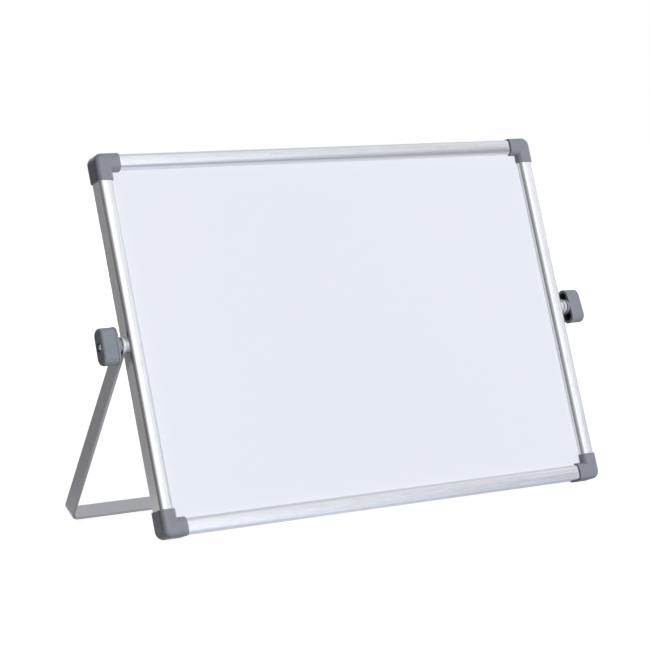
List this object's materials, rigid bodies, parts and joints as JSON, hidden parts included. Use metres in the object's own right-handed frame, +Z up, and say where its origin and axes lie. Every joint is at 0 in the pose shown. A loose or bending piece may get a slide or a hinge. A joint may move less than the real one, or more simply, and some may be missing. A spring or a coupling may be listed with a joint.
{
  "type": "desk whiteboard easel",
  "caption": "Double-sided magnetic whiteboard in an aluminium frame, hung in a U-shaped desk stand on two wing-knob clamps so that it tilts or turns right round.",
  "frame": {"origin": "on the desk, under the middle of the easel", "axes": "X along the board, +Y away from the writer, +Z up; the board faces -Y and leans back"},
  "size_m": [0.5546, 0.1766, 0.3406],
  "materials": {
    "rail_aluminium": "bright satin anodised extrusion",
    "cap_plastic": "grey moulded plastic, fine matt texture",
    "writing_lacquer": "white lacquered steel, semi-gloss",
    "core_board": "pressed fibre board",
    "stand_aluminium": "brushed and anodised flat bar",
    "knob_plastic": "grey moulded plastic, ribbed grip",
    "screw_steel": "bright zinc plated",
    "nut_steel": "zinc plated",
    "washer_steel": "zinc plated",
    "spacer_aluminium": "turned, bright",
    "bush_plastic": "natural plastic"
  },
  "bodies": {
    "stand": {"stand_bar": "stand_aluminium", "left_leg_bush": "bush_plastic", "right_leg_bush": "bush_plastic"},
    "board": {"bottom_rail": "rail_aluminium", "top_rail": "rail_aluminium", "left_rail": "rail_aluminium", "right_rail": "rail_aluminium", "bottom_left_corner_cap": "cap_plastic", "bottom_right_corner_cap": "cap_plastic", "top_right_corner_cap": "cap_plastic", "top_left_corner_cap": "cap_plastic", "front_writing_sheet": "writing_lacquer", "back_writing_sheet": "writing_lacquer", "panel_core": "core_board", "left_rail_nut": "nut_steel", "left_spacer": "spacer_aluminium", "right_rail_nut": "nut_steel", "right_spacer": "spacer_aluminium"},
    "left_washer": {"left_knob_washer": "washer_steel"},
    "left_knob_and_screw": {"left_knob": "knob_plastic", "left_clamp_screw": "screw_steel"},
    "right_washer": {"right_knob_washer": "washer_steel"},
    "right_knob_and_screw": {"right_knob": "knob_plastic", "right_clamp_screw": "screw_steel"}
  },
  "joints": [
    {"name": "board_tilt", "type": "hinge", "parent": "stand", "child": "board", "pos_m": [0, -0.02735, 0.17029], "axis": [1, 0, 0], "continuous": true},
    {"name": "left_knob_travel", "type": "slide", "parent": "board", "child": "left_washer", "axis": [-1, 0, 0], "range_m": [0, 0.00158]},
    {"name": "left_knob_turn", "type": "hinge", "parent": "left_washer", "child": "left_knob_and_screw", "pos_m": [-0.257, -0.02735, 0.17029], "axis": [-1, 0, 0], "range_deg": [0, 810]},
    {"name": "right_knob_travel", "type": "slide", "parent": "board", "child": "right_washer", "axis": [1, 0, 0], "range_m": [0, 0.00158]},
    {"name": "right_knob_turn", "type": "hinge", "parent": "right_washer", "child": "right_knob_and_screw", "pos_m": [0.257, -0.02735, 0.17029], "axis": [1, 0, 0], "range_deg": [0, 810]}
  ],
  "couplings": [
    {"joint": "left_knob_turn", "follows": "left_knob_travel", "rad_per_m": 8976},
    {"joint": "right_knob_turn", "follows": "right_knob_travel", "rad_per_m": 8976}
  ]
}
